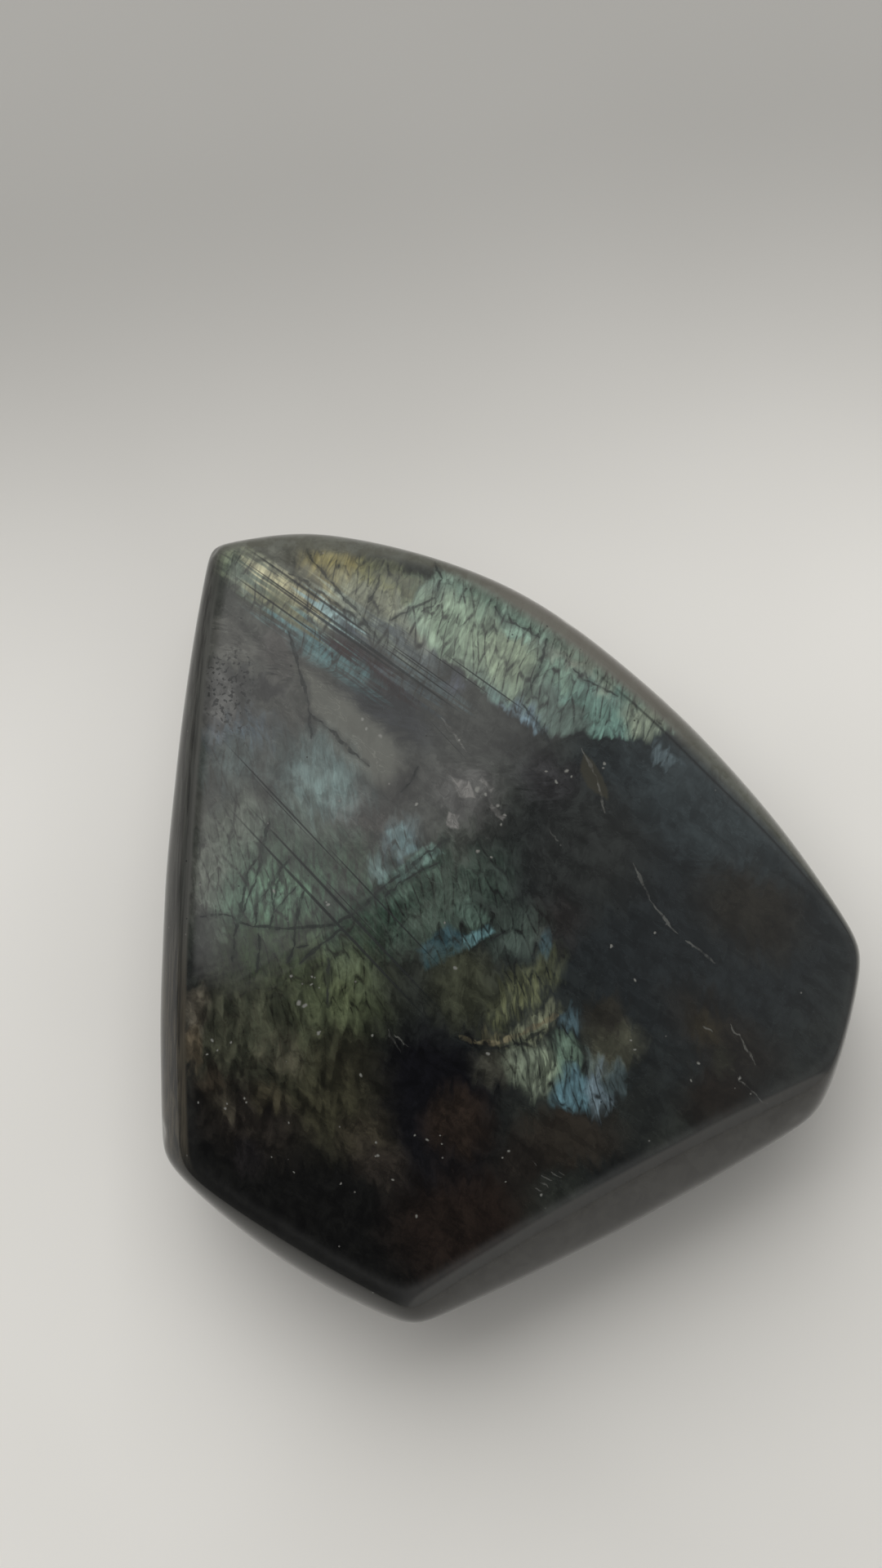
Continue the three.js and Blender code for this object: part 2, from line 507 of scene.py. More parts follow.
# Body colour zones, under the flash: lean, x, y, half width, edge, colour.
BODY_ZONES = [
    # the hazy upper left and the dark, faintly blue right-hand side
    ("round", -24.7, 24.5, 23.9, 0.45, (0.035, 0.037, 0.033)),
    ("round", 24.0, 4.2, 24.4, 0.45, (0.012, 0.015, 0.016)),
    ("band", 28.2, 17.2, 2.1, 0.60, (0.040, 0.038, 0.036)),
    ("band", 24.0, 16.2, 6.0, 0.50, (0.024, 0.031, 0.033)),
    ("oval", 31.0, 2.4, 4.7, 0.60, (0.015, 0.014, 0.011)),
    ("band", 27.3, -13.4, 3.5, 0.60, (0.013, 0.012, 0.010)),
    ("round", 8.8, 10.3, 8.1, 0.50, (0.017, 0.019, 0.018)),
    # nearly black lower left and foot, with brown clouds
    ("oval", -24.2, -33.7, 17.9, 0.45, (0.0045, 0.0045, 0.004)),
    ("round", -6.2, -37.7, 8.5, 0.55, (0.012, 0.008, 0.006)),
    ("round", -10.1, -21.8, 9.6, 0.50, (0.004, 0.004, 0.005)),
    ("level", -11.2, -18.2, 3.7, 0.50, (0.003, 0.003, 0.004)),
    ("round", -6.2, -6.7, 4.2, 0.60, (0.034, 0.037, 0.024)),
    ("round", -2.8, -17.2, 2.3, 0.60, (0.036, 0.036, 0.028)),
    ("round", -6.7, -24.7, 4.0, 0.50, (0.016, 0.011, 0.008)),
    ("level", 6.8, -26.6, 3.3, 0.50, (0.020, 0.017, 0.013)),
    # olive ground under the lower-left streaks
    ("round", -31.4, -12.6, 9.8, 0.50, (0.024, 0.024, 0.016)),
    ("round", -34.0, -2.5, 3.1, 0.70, (0.006, 0.008, 0.003)),
    ("round", -23.1, -7.7, 6.9, 0.70, (0.021, 0.024, 0.013)),
    ("round", -24.2, -20.2, 6.9, 0.60, (0.023, 0.022, 0.013)),
    ("oval", -34.0, -23.8, 4.8, 0.60, (0.012, 0.010, 0.008)),
    ("round", -30.9, -21.2, 1.9, 0.50, (0.024, 0.021, 0.013)),
    ("round", -38.0, -19.7, 2.1, 0.60, (0.020, 0.016, 0.011)),
    ("round", -18.8, -26.1, 3.3, 0.70, (0.031, 0.027, 0.018)),
    ("round", -16.8, -29.7, 2.9, 0.70, (0.023, 0.019, 0.015)),
    ("round", -34.0, -29.0, 2.3, 0.60, (0.009, 0.008, 0.008)),
    ("round", 1.3, -29.5, 3.1, 0.60, (0.013, 0.011, 0.009)),
    ("round", -29.4, -15.5, 2.7, 0.60, (0.032, 0.029, 0.020)),
    # grey strip down the left, grey ground in the upper left corner, and the dull pitted patch
    ("upright", -39.6, 6.3, 2.7, 0.40, (0.044, 0.045, 0.040)),
    ("oval", -33.0, 32.3, 8.3, 0.35, (0.046, 0.047, 0.042)),
    ("round", -34.9, 30.7, 3.1, 0.28, (0.035, 0.036, 0.034)),
    ("oval", -35.9, 36.9, 2.1, 0.60, (0.074, 0.074, 0.066)),
    ("round", -30.9, 31.5, 1.7, 0.40, (0.026, 0.026, 0.025)),
    ("round", -29.4, 36.5, 3.1, 0.50, (0.052, 0.050, 0.046)),
    # clouds between the middle and the left-hand side
    ("round", -20.5, 14.7, 3.5, 0.60, (0.044, 0.041, 0.037)),
    ("round", -15.1, 18.6, 3.1, 0.70, (0.023, 0.023, 0.021)),
    ("round", -28.8, 3.7, 6.4, 0.60, (0.014, 0.018, 0.014)),
    # brown clouds at the lower right, by the wide bevel
    ("round", 26.3, -21.2, 4.4, 0.60, (0.010, 0.008, 0.006)),
    ("round", 25.0, -12.4, 2.1, 0.80, (0.021, 0.018, 0.011)),
    ("upright", 26.7, -16.3, 0.9, 0.80, (0.024, 0.024, 0.017)),
    # dark clouds below the fan and round the middle
    ("band", -15.3, 28.4, 2.7, 0.60, (0.016, 0.018, 0.020)),
    ("fan", -18.2, 33.6, 1.6, 0.60, (0.016, 0.008, 0.006)),
    ("round", -21.0, 8.6, 2.7, 0.70, (0.020, 0.020, 0.016)),
    ("round", 5.5, 1.1, 3.5, 0.70, (0.019, 0.018, 0.017)),
    # grey ground round the crumbs
    ("oval", -6.4, 17.6, 3.0, 0.60, (0.056, 0.056, 0.053)),
    ("round", -7.2, 11.7, 2.7, 0.60, (0.040, 0.044, 0.038)),
    ("round", 4.7, 19.3, 3.3, 0.60, (0.026, 0.026, 0.027)),
    # grey and beige in the upper left corner
    ("round", -34.0, 42.2, 3.1, 0.60, (0.050, 0.052, 0.046)),
    ("band", -32.2, 48.3, 1.8, 0.50, (0.088, 0.090, 0.074)),
    ("band", -26.5, 46.7, 1.7, 0.50, (0.058, 0.058, 0.044)),
    # grey along the left edge
    ("upright", -39.6, 16.2, 1.7, 0.60, (0.040, 0.041, 0.036)),
    ("upright", -38.2, 30.0, 2.3, 0.50, (0.080, 0.080, 0.076)),
    ("upright", -40.7, -10.3, 1.5, 0.60, (0.070, 0.062, 0.047)),
    # reddish brown by the left edge, and the brown blob right of the lower flash
    ("upright", -41.2, -14.9, 1.4, 0.50, (0.068, 0.055, 0.036)),
    ("round", -37.2, -22.0, 1.7, 0.60, (0.036, 0.032, 0.023)),
    ("round", 13.0, -14.5, 3.3, 0.45, (0.054, 0.055, 0.039)),
    ("round", 11.9, -10.5, 2.5, 0.50, (0.019, 0.018, 0.014)),
]

# Patches of the flashing band along the upper right edge: lean, x, y, half width, edge, colour.
BAND_ZONES = [
    # green and pale green to the left
    ("band", -3.0, 40.6, 2.1, 0.55, (0.060, 0.096, 0.072)),
    ("oval", -9.0, 40.1, 2.2, 0.60, (0.238, 0.298, 0.223)),
    ("round", -7.0, 34.6, 1.8, 0.60, (0.108, 0.140, 0.106)),
    ("oval", -7.0, 38.8, 3.5, 0.60, (0.140, 0.196, 0.136)),
    ("oval", -0.5, 34.9, 3.3, 0.60, (0.146, 0.186, 0.126)),
    ("oval", 0.7, 38.5, 1.2, 0.50, (0.120, 0.190, 0.146)),
    # grey along the rim, teal and yellow-green to the right, blue along the lower edge
    ("band", 8.8, 34.2, 1.7, 0.60, (0.100, 0.115, 0.088)),
    ("oval", 10.9, 28.4, 4.0, 0.40, (0.077, 0.142, 0.117)),
    ("oval", 17.2, 26.3, 2.3, 0.45, (0.128, 0.152, 0.110)),
    ("band", 1.3, 26.5, 2.0, 0.50, (0.084, 0.130, 0.156)),
    ("round", 5.9, 32.7, 2.1, 0.60, (0.100, 0.160, 0.121)),
    ("round", 11.9, 31.5, 1.5, 0.60, (0.118, 0.152, 0.116)),
    ("band", 6.5, 26.9, 1.7, 0.60, (0.050, 0.074, 0.062)),
    ("band", -1.6, 30.2, 0.9, 0.50, (0.062, 0.104, 0.094)),
]

# The band's outline: corners clockwise, with no corner turning inwards.
BAND = [
    (-8.6, 46.9), (-3.9, 45.2), (4.9, 40.6), (14.8, 32.3), (21.7, 25.5), (18.5, 24.5),
    (2.4, 25.7), (-5.4, 32.1), (-12.7, 39.2), (-13.2, 41.9),
]

# Flash patches: lean, x, y, half width, edge, colour.
FLASHES = [
    # gold and teal at the top of the band, and a blue streak past its end
    ("band", -20.3, 45.2, 2.9, 0.55, (0.168, 0.142, 0.050)),
    ("oval", -17.4, 43.6, 2.1, 0.60, (0.112, 0.112, 0.050)),
    ("band", -14.5, 38.8, 2.9, 0.50, (0.034, 0.044, 0.049)),
    ("oval", -13.2, 43.8, 1.9, 0.60, (0.066, 0.134, 0.100)),
    ("oval", -15.9, 44.6, 1.9, 0.70, (0.183, 0.186, 0.048)),
    ("round", -13.7, 44.6, 1.1, 0.70, (0.102, 0.160, 0.104)),
    ("band", 19.8, 22.3, 0.8, 0.50, (0.044, 0.060, 0.066)),
    # the fan in the upper left corner: gold and cream above, blue and teal below
    ("fan", -30.9, 44.0, 2.7, 0.45, (0.078, 0.092, 0.056)),
    ("oval", -34.0, 45.6, 1.9, 0.60, (0.068, 0.088, 0.066)),
    ("fan", -26.5, 42.0, 1.8, 0.55, (0.230, 0.214, 0.128)),
    ("band", -16.6, 41.9, 2.7, 0.60, (0.125, 0.132, 0.090)),
    ("round", -12.6, 40.4, 1.9, 0.70, (0.150, 0.172, 0.132)),
    ("fan", -18.4, 39.4, 1.6, 0.60, (0.124, 0.148, 0.120)),
    ("fan", -14.7, 37.5, 1.0, 0.60, (0.034, 0.044, 0.047)),
    ("band", -14.3, 45.4, 1.7, 0.60, (0.058, 0.062, 0.036)),
    ("fan", -24.4, 36.8, 2.1, 0.55, (0.038, 0.091, 0.096)),
    ("fan", -19.5, 38.0, 1.0, 0.50, (0.014, 0.022, 0.032)),
    ("fan", -17.2, 33.6, 1.6, 0.60, (0.002, 0.004, 0.007)),
    ("fan", -29.4, 41.5, 1.2, 0.50, (0.090, 0.092, 0.050)),
    ("fan", -22.6, 40.4, 1.0, 0.55, (0.162, 0.242, 0.243)),
    ("fan", -13.8, 31.5, 1.1, 0.60, (0.014, 0.026, 0.032)),
    ("fan", -10.6, 32.1, 1.1, 0.40, (0.022, 0.036, 0.040)),
    # left-hand side: blue below the pitted patch, a greyish green haze, teal-green at its middle
    ("level", -35.1, 25.5, 1.9, 0.90, (0.008, 0.024, 0.042)),
    ("round", -35.9, 21.3, 3.5, 0.90, (0.024, 0.036, 0.036)),
    ("oval", -24.3, 20.1, 3.2, 0.95, (0.066, 0.104, 0.102)),
    ("round", -24.1, 17.4, 2.4, 0.80, (0.072, 0.112, 0.108)),
    ("round", -27.2, 15.7, 2.5, 0.80, (0.040, 0.058, 0.052)),
    ("round", -22.0, 12.2, 1.7, 0.80, (0.024, 0.038, 0.032)),
    ("round", -33.4, 14.0, 1.7, 0.80, (0.075, 0.092, 0.078)),
    ("upright", -36.5, 7.8, 3.5, 0.60, (0.082, 0.094, 0.076)),
    ("upright", -34.7, 11.5, 2.7, 0.80, (0.054, 0.064, 0.050)),
    ("round", -28.6, 5.1, 7.9, 0.60, (0.034, 0.060, 0.041)),
    ("round", -27.6, 4.2, 3.1, 0.80, (0.090, 0.154, 0.098)),
    ("oval", -29.5, 10.5, 1.9, 0.80, (0.010, 0.022, 0.013)),
    ("round", -31.3, 6.1, 2.3, 0.80, (0.056, 0.104, 0.066)),
    ("oval", -24.3, -4.7, 4.0, 0.70, (0.078, 0.102, 0.064)),
    ("round", -27.6, -9.7, 2.1, 0.80, (0.040, 0.038, 0.026)),
    ("level", -31.3, 3.6, 2.5, 0.90, (0.070, 0.128, 0.088)),
    ("round", -30.4, -3.5, 6.0, 0.60, (0.010, 0.023, 0.007)),
    ("oval", -22.6, -7.6, 3.1, 0.95, (0.052, 0.064, 0.032)),
    ("round", -30.4, -10.8, 7.3, 0.80, (0.014, 0.017, 0.011)),
    # blue and teal at the middle
    ("oval", -19.5, 4.8, 5.2, 0.80, (0.008, 0.026, 0.014)),
    ("round", -14.1, 11.9, 2.1, 0.80, (0.040, 0.066, 0.074)),
    ("round", -16.8, 8.1, 1.5, 0.60, (0.058, 0.096, 0.092)),
    ("rising", -12.7, 6.8, 2.1, 0.70, (0.032, 0.060, 0.044)),
    ("rising", -8.2, 3.8, 3.5, 0.70, (0.028, 0.046, 0.035)),
    ("round", 0.5, 0.3, 2.9, 0.90, (0.038, 0.054, 0.044)),
    ("upright", 4.2, -1.8, 0.8, 0.70, (0.026, 0.052, 0.060)),
    # the flash below the middle: olive gold, a beige crescent, pale blades, teal and blue
    ("rising", 1.5, -7.2, 2.1, 0.60, (0.067, 0.072, 0.034)),
    ("level", -2.2, -13.0, 0.9, 0.70, (0.048, 0.044, 0.022)),
    ("rising", 2.8, -12.3, 1.6, 0.60, (0.110, 0.118, 0.074)),
    ("oval", 2.6, -17.6, 2.8, 0.50, (0.100, 0.120, 0.086)),
    ("round", 4.0, -16.9, 1.2, 0.60, (0.138, 0.168, 0.116)),
    ("upright", 6.7, -16.8, 1.8, 0.50, (0.072, 0.112, 0.082)),
    ("upright", 8.0, -11.6, 1.1, 0.70, (0.026, 0.048, 0.058)),
    ("round", 7.7, -20.7, 2.5, 0.45, (0.060, 0.118, 0.140)),
    ("upright", 11.2, -20.1, 1.6, 0.55, (0.121, 0.166, 0.192)),
    ("round", 9.9, -16.6, 1.2, 0.70, (0.045, 0.060, 0.056)),
    ("round", 13.6, -18.8, 1.7, 0.50, (0.030, 0.044, 0.047)),
]

# Straight-sided crystals without and with a flash: corners clockwise, softness of the border,
# colour.
CRYSTALS = [
    # brown-grey one below the fan, and the beige one in the fan
    ([
        (-27.6, 34.2), (-24.5, 31.9), (-19.0, 28.0), (-15.1, 24.0), (-13.9, 20.9), (-16.4, 18.6),
        (-19.9, 20.5), (-23.8, 25.3), (-26.1, 28.6),
    ], 1.30, (0.088, 0.090, 0.077)),
    ([
        (-28.8, 45.6), (-26.5, 46.9), (-23.1, 44.0), (-18.6, 40.0), (-23.4, 42.2),
    ], 0.35, (0.112, 0.112, 0.082)),
]
FLASH_CRYSTALS = [
    # pale teal bar and the light blue one beside it, left of the middle
    ([(-15.3, 7.6), (-10.3, 11.5), (-8.8, 10.1), (-14.4, 5.9)], 0.25, (0.064, 0.112, 0.095)),
    ([(-16.1, 12.8), (-14.0, 13.8), (-11.9, 10.5), (-14.5, 9.4)], 0.35, (0.062, 0.108, 0.114)),
    # deep blue kite, the grey-green slip beside it, and the pale teal one over both
    ([(-12.1, -2.3), (-8.1, 1.1), (-5.0, -1.6), (-10.9, -4.8)], 0.45, (0.010, 0.034, 0.044)),
    ([(-7.7, 2.9), (-5.6, 4.5), (-2.5, 1.5), (-4.9, 0.0)], 0.35, (0.052, 0.084, 0.066)),
    ([(-6.5, -0.8), (-3.0, 0.9), (-2.3, 0.0), (-5.5, -2.2)], 0.25, (0.085, 0.165, 0.175)),
    # violet corner at the end of the fan
    ([(-8.6, 31.5), (-7.0, 33.2), (-5.7, 31.5), (-7.4, 30.2)], 0.90, (0.022, 0.026, 0.040)),
]

# Pale crumbs: corners clockwise.
CRUMBS = [
    [(-7.8, 19.8), (-5.4, 19.0), (-4.6, 17.1), (-6.8, 17.0)],
    [(-8.2, 15.2), (-6.7, 14.9), (-7.0, 13.0), (-8.4, 13.6)],
    [(-3.9, 19.7), (-2.3, 18.2), (-2.6, 17.8), (-4.1, 19.2)],
    [(-2.6, 16.2), (-1.0, 14.5), (-1.3, 14.1), (-2.9, 15.8)],
]

# Crooked dark cracks: the points that each runs through.
DARK_CRACKS = [
    # down from the top rim across the fan
    [(-26.5, 49.2), (-25.2, 47.1), (-23.4, 45.2), (-21.8, 42.9), (-19.4, 40.4), (-16.8, 36.9)],
    [(-28.6, 46.1), (-23.8, 42.9), (-19.8, 40.0), (-18.2, 39.0)],
    # the arc over the gold, and its echo
    [(-9.9, 47.5), (-9.0, 45.2), (-9.8, 42.7), (-12.8, 41.2), (-15.5, 39.8)],
    [(-9.5, 43.6), (-10.0, 41.8), (-11.5, 40.9)],
    [(-16.9, 45.7), (-17.5, 43.7), (-18.5, 42.1)],
    # along the rim side of the band, and down across it
    [(-2.2, 41.5), (-1.2, 39.9), (1.3, 39.0), (3.5, 37.5)],
    [(7.9, 33.6), (9.1, 32.1), (11.5, 31.3), (13.5, 30.0)],
    [(4.4, 37.4), (3.8, 34.2), (2.5, 31.7), (1.9, 30.0)],
    [(1.3, 29.0), (3.0, 26.9), (5.1, 23.8)],
    # sides of the brown-grey crystal
    [(-28.6, 38.5), (-27.2, 33.6), (-26.0, 28.6), (-25.6, 24.5)],
    [(-26.0, 27.9), (-23.4, 25.9), (-19.5, 22.1), (-18.2, 21.1)],
    [(-12.0, 21.1), (-12.9, 19.0), (-14.3, 17.6)],
    # the broad crack that crosses the cleavage, and its branch
    [
        (-40.0, 1.8), (-36.9, 2.1), (-33.2, 0.7), (-29.4, 0.3), (-22.7, 0.9), (-19.7, 2.6),
        (-15.9, 6.0), (-11.2, 9.7), (-8.0, 11.9),
    ],
    [(-27.2, -4.2), (-23.8, -1.2), (-21.4, 0.6)],
    [(-16.4, 4.5), (-14.5, 5.9), (-12.0, 7.5), (-9.2, 9.0)],
    # leaf veins on the left
    [(-31.0, 14.4), (-32.2, 9.9), (-33.7, 7.8), (-34.4, 4.5), (-35.6, -0.9), (-35.7, -3.9)],
    [(-31.5, 11.3), (-32.6, 6.8), (-33.8, 4.2), (-34.8, 1.5)],
    [(-28.4, 9.4), (-31.2, 5.5), (-32.6, 3.6), (-32.8, 0.7)],
    [(-29.6, 7.4), (-30.3, 4.2), (-30.5, 2.2), (-31.3, 0.1)],
    [(-31.1, 6.5), (-30.5, 3.8)],
    [(-26.6, 5.3), (-27.6, 0.6), (-27.8, -2.0), (-28.7, -4.1)],
    [(-30.3, 2.4), (-28.6, 4.5), (-27.6, 5.7)],
    [(-32.4, -0.3), (-32.2, -2.6), (-32.8, -5.3)],
    [(-27.6, -2.0), (-25.9, -1.8)],
    [(-23.4, -3.4), (-23.6, -7.0), (-23.5, -9.9)],
    # round the beige crescent
    [(-7.9, -13.4), (-4.9, -15.0), (-1.5, -14.9), (1.5, -13.9), (4.2, -12.4)],
    # the right-hand side
    [(-3.0, -1.2), (-1.0, 0.1)],
]

# Straight cleavage cracks by their lean: x, y and how far each goes either way before it thins out.
CLEAVAGE = {
    "cleavage": [
        (-21.45, 3.00, 11.0), (-23.63, 2.38, 11.4), (-28.83, 15.69, 7.3), (-16.98, 3.83, 6.9),
        (-20.51, 3.00, 4.2), (-16.77, -0.74, 1.9), (-11.47, -8.44, 2.6), (-29.35, 15.69, 4.2),
        (-8.24, 24.53, 3.1),
    ],
    "fanwise": [
        (-23.11, 39.09, 7.3), (-25.19, 42.94, 6.4), (-28.83, 43.56, 4.2), (-20.51, 38.05, 5.2),
        (-6.99, 33.16, 3.5), (-29.87, 41.48, 4.7), (-16.35, 34.93, 7.7), (-11.67, 32.95, 4.2),
        (-11.15, 33.68, 3.7), (-12.40, 34.20, 3.1), (-3.25, 31.71, 4.2),
    ],
}
THIN_ENDS = 1.5  # how many times longer a crack is with its thin ends

# Light lines, bright scratches and the walls of open cracks: the points that each runs through.
LIGHT_LINES = [
    [(4.7, 13.2), (5.9, 11.5)],
    [(15.4, 8.8), (17.9, 3.6), (21.3, -0.5)],
    [(22.1, -1.2), (26.1, -4.1)],
    [(27.9, -12.0), (29.2, -13.6), (31.2, -17.2)],
    [(28.8, -18.8), (30.7, -20.3), (31.5, -21.4), (32.9, -22.4)],
    [(24.3, -12.2), (25.7, -12.8)],
    [(3.8, -31.2), (5.1, -32.0)],
    [(4.8, -30.8), (6.4, -31.6)],
    [(3.5, -32.1), (4.8, -32.9)],
    [(2.9, -32.7), (4.0, -33.3)],
    [(5.9, -30.7), (6.7, -31.3)],
    [(2.6, -29.4), (3.3, -30.0)],
    [(8.9, 23.4), (10.8, 19.6), (11.9, 15.0)],
    [(-9.1, 27.3), (-5.7, 22.8)],
    [(-15.1, -13.2), (-13.2, -14.8)],
    [(-15.9, -12.6), (-14.3, -15.5)],
]

# Bright specks: x, y and half the width.
SPECKS = [
    (23.9, -16.9, 0.27), (22.9, -19.1, 0.23), (29.1, -18.8, 0.25), (3.8, -33.8, 0.23),
    (-0.3, -28.1, 0.27), (-1.3, -29.0, 0.23), (-27.3, -9.1, 0.47), (-28.2, -5.7, 0.27),
    (-36.5, -22.0, 0.17), (-28.0, -31.0, 0.19), (-17.3, -27.1, 0.21), (-17.5, -28.9, 0.17),
    (-12.4, -26.1, 0.19), (-9.2, -26.1, 0.17), (-8.9, -27.3, 0.16), (15.7, -15.0, 0.19),
    (15.3, -13.9, 0.15), (-25.2, -5.8, 0.17), (-24.8, -7.3, 0.15), (-24.5, -12.8, 0.19),
    (-39.1, -15.9, 0.16), (-37.7, -15.3, 0.17), (-34.0, -22.0, 0.16), (-30.8, -29.1, 0.15),
    (-21.8, -32.4, 0.17), (-28.6, -24.7, 0.16), (-0.8, -32.1, 0.15), (-40.3, -22.0, 0.16),
    (-19.1, 27.0, 0.31), (-18.5, 25.8, 0.31), (-16.8, 24.9, 0.31), (-12.2, 16.2, 0.31),
    (-23.5, 3.4, 0.33), (-23.8, 3.8, 0.21), (-30.4, 5.2, 0.26), (-26.5, -9.5, 0.37),
    (-25.7, -5.7, 0.21), (-25.7, -6.9, 0.21), (-24.7, -12.9, 0.31), (-17.9, -13.1, 0.21),
    (-38.4, -14.1, 0.25), (-36.0, -14.3, 0.23), (-19.3, -18.3, 0.31), (-17.2, -28.8, 0.27),
    (-15.1, -31.9, 0.25), (-12.2, -36.6, 0.25), (-10.8, -26.7, 0.23), (-36.8, -22.7, 0.23),
    (-34.3, -21.5, 0.23), (4.4, 20.4, 0.25), (5.7, 19.1, 0.25), (7.0, 20.4, 0.31),
    (7.6, 19.8, 0.21), (11.7, 21.5, 0.25), (11.7, 20.9, 0.19), (-4.4, 18.2, 0.42),
    (-3.5, 17.6, 0.31), (-1.9, 16.0, 0.35), (-1.0, 14.9, 0.27), (-1.6, 13.6, 0.21),
    (-6.7, 24.4, 0.21), (-4.4, 10.2, 0.31), (-2.8, 9.4, 0.21), (18.2, -0.1, 0.29),
    (12.6, -1.9, 0.25), (15.6, -6.1, 0.25), (-7.2, -4.7, 0.27), (-3.0, -15.7, 0.27),
    (-8.7, 1.1, 0.21),
]

# A thin curved beige layer in the flash below the middle: the points that it runs through.
CRESCENT = [
    (-6.8, -13.4), (-4.5, -14.2), (-1.6, -14.1), (1.3, -13.0), (3.8, -11.6), (5.9, -10.7),
]

# The brown blade right of the crumbs: corners clockwise.
BLADE = [
    (9.3, 22.9), (11.0, 20.7), (12.1, 18.4), (12.2, 15.2), (11.1, 16.3), (9.9, 18.2), (8.5, 19.1),
    (8.7, 21.3),
]

# Colours of the body, the flash and the marks that have no colour of their own above.
BODY_DARK = (0.0095, 0.011, 0.0105)
BODY_LIGHT = (0.022, 0.025, 0.021)
BAND_GREEN = (0.090, 0.132, 0.104)
CRESCENT_BEIGE = (0.085, 0.073, 0.041)
SIDE_FLASH = (0.035, 0.060, 0.046)
CRUMB_WHITE = (0.17, 0.165, 0.155)
SPECK_WHITE = (0.17, 0.17, 0.155)
BLADE_BROWN = (0.036, 0.034, 0.024)
PIT_BLACK = (0.006, 0.007, 0.007)
CRACK_BLACK = (0.006, 0.008, 0.008)
PRICK_BLACK = (0.005, 0.005, 0.005)

# Colours of the ground rim's painted sheen, highlight and shade, and of its streaks, partly a painted
# reflection, with a painted highlight along the left edge; and of the wide bevel and its painted
# sheen.
RIM_SHEEN_DARK = (0.066, 0.067, 0.052)
RIM_SHEEN_PALE = (0.092, 0.096, 0.080)
RIM_SHOULDER_HIGHLIGHT = (0.112, 0.104, 0.088)
RIM_PAINTED_SHADE = (0.020, 0.020, 0.017)
STREAK_DARK = (0.011, 0.011, 0.010)
STREAK_GREY = (0.043, 0.044, 0.039)
STREAK_REDDISH_REFLECTION = (0.056, 0.049, 0.036)
LEFT_EDGE_HIGHLIGHT = (0.092, 0.092, 0.084)
LEFT_EDGE_HIGHLIGHT_REDDISH = (0.062, 0.053, 0.038)
CREASE_PAINTED_SHADE = (0.005, 0.006, 0.006)
BEVEL_DARK = (0.013, 0.012, 0.010)
BEVEL_LIGHT = (0.027, 0.026, 0.022)
BEVEL_EDGE_SHEEN = (0.056, 0.054, 0.049)

UNSPLIT = 1.06  # strength of the flash between its splits, which makes up for what they take
FELDSPAR_IOR = 1.56
WHEEL_MARKS = 0.02  # depth in millimetres, at half strength
WHEEL_STRENGTH = 0.5


# In the functions below, f is the finish that is laid out, and g is what its markings share.


def grain_of_stone(f, origin):
    """What the markings share, by name. origin is where the point that all face distances are taken
    from has come to lie. front is one on the show face and fades out down the sides. mottle and
    clouds are cloudy noises, broad and slanting are drawn out along the splinters, and combed
    along the fan. wavy, loose, jagged and flat are the place moved about, and ways has loose
    leaning in each way."""
    g = SimpleNamespace(origin=origin)
    g.place = f.place()
    g.height = f.reach(g.place, 0, 0, 1)
    g.front = f.ramp(g.height, 17, 27)

    # splinters and the splits between them lean back in the upper right and forward elsewhere
    g.wavy = f.shifted(g.place, 7.0, 1.6, 1.0)
    upper = f.ramp(f.reach(g.place, 0.45, 0.90), 15, 20)
    g.along = f.blend(upper, f.laid(g.wavy, turn=14), f.laid(g.wavy, turn=-12))
    g.broad = f.noise(f.laid(g.along, (5, 3, 1), 8, (1.5, 6.0, 4.0)), 1.0, 1.0, 0.4)
    g.slanting = f.noise(f.laid(g.along, (1, 7, 4), -22, (1.0, 4.5, 4.0)), 1.0, 1.0, 0.4)

    # patches wander with the clouds, and break into steps at the splinters
    steps = f.add("ShaderNodeCombineXYZ")
    step = f.ramp(g.broad, 0.44, 0.56, -0.45, 0.45)
    f.feed(steps.inputs["Y"], f.plus(step, f.ramp(g.slanting, 0.44, 0.56, -0.35, 0.35)))
    g.loose = f.shifted(f.shifted(g.place, 7.0, 4.0, 2.0), 1.8, 1.5, 2.0)
    g.loose = f.vector("ADD", g.loose, steps.outputs[0])
    g.jagged = f.shifted(g.place, 1.3, 0.9, 2.0)
    g.flat = f.vector("MULTIPLY", g.jagged, (1, 1, 0))
    g.mottle = f.noise(g.loose, 2.2, 3.0, 0.65)
    g.ways = {lean: f.leaning(g.loose, lean) for lean in PATCH_LEANS}

    # across the fan the splinters are straight and all lean one way
    g.combed = f.noise(f.laid(g.place, turn=-35, size=(12.0, 0.55, 3.0)), 1.0, 2.0, 0.55)
    drawn = f.add("ShaderNodeCombineXYZ")
    f.feed(drawn.inputs["X"], f.ramp(g.combed, 0.40, 0.60, -2.4, 2.4))
    f.feed(drawn.inputs["Y"], f.ramp(g.combed, 0.40, 0.60, 1.7, -1.7))
    drawn = f.vector("ADD", f.shifted(g.place, 5.0, 2.4, 1.0), drawn.outputs[0])
    g.ways["fan"] = f.leaning(drawn, "fan")
    g.clouds = f.noise(g.place, 11.0, 2.0, 0.6)
    return g


